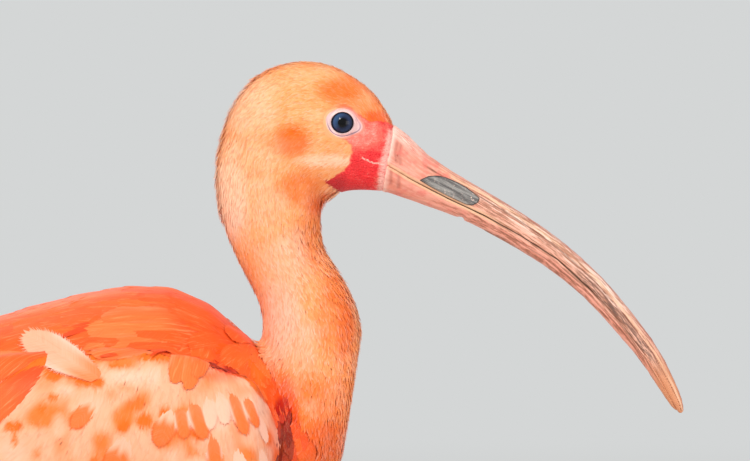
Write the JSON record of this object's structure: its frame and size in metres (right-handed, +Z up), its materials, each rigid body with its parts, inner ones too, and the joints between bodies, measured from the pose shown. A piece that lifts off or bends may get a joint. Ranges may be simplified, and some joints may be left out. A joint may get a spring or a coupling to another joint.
{
  "type": "scarlet ibis",
  "caption": "Life-size still model of a standing scarlet ibis: long down-curved bill, upright curved neck, folded wings, short tail and long bare legs with spread toes.",
  "frame": {"origin": "on the floor, under the middle of the bird's own box", "axes": "+X towards the bill, +Y the bird's left, +Z up"},
  "size_m": [0.4, 0.1066, 0.3537],
  "materials": {
    "neck_plumage": "soft short feathers, peach to orange",
    "body_plumage": "smooth orange feathers",
    "covert_plumage": "pale pink feathers with orange tips and spots",
    "flight_plumage": "smooth long feathers, satin",
    "bill": "worn horn, satin",
    "eye": "wet gloss",
    "leg": "scaled skin, satin",
    "claw": "horn, satin"
  },
  "bodies": {
    "root": {"bill_lower": "bill", "bill_upper": "bill", "claw_hind_left": "claw", "claw_hind_right": "claw", "claw_inner_left": "claw", "claw_inner_right": "claw", "claw_middle_left": "claw", "claw_middle_right": "claw", "claw_outer_left": "claw", "claw_outer_right": "claw", "eye_left": "eye", "eye_right": "eye", "flight_feathers_left": "flight_plumage", "flight_feathers_right": "flight_plumage", "foot_left": "leg", "foot_right": "leg", "head": "neck_plumage", "neck_lower": "neck_plumage", "neck_middle": "neck_plumage", "neck_upper": "neck_plumage", "shank_left": "leg", "shank_right": "leg", "tail": "flight_plumage", "tarsus_left": "leg", "tarsus_right": "leg", "thigh_left": "body_plumage", "thigh_right": "body_plumage", "toe_hind_left": "leg", "toe_hind_right": "leg", "toe_inner_left": "leg", "toe_inner_right": "leg", "toe_middle_left": "leg", "toe_middle_right": "leg", "toe_outer_left": "leg", "toe_outer_right": "leg", "trunk": "body_plumage", "wing_left": "covert_plumage", "wing_right": "covert_plumage"}
  },
  "joints": []
}
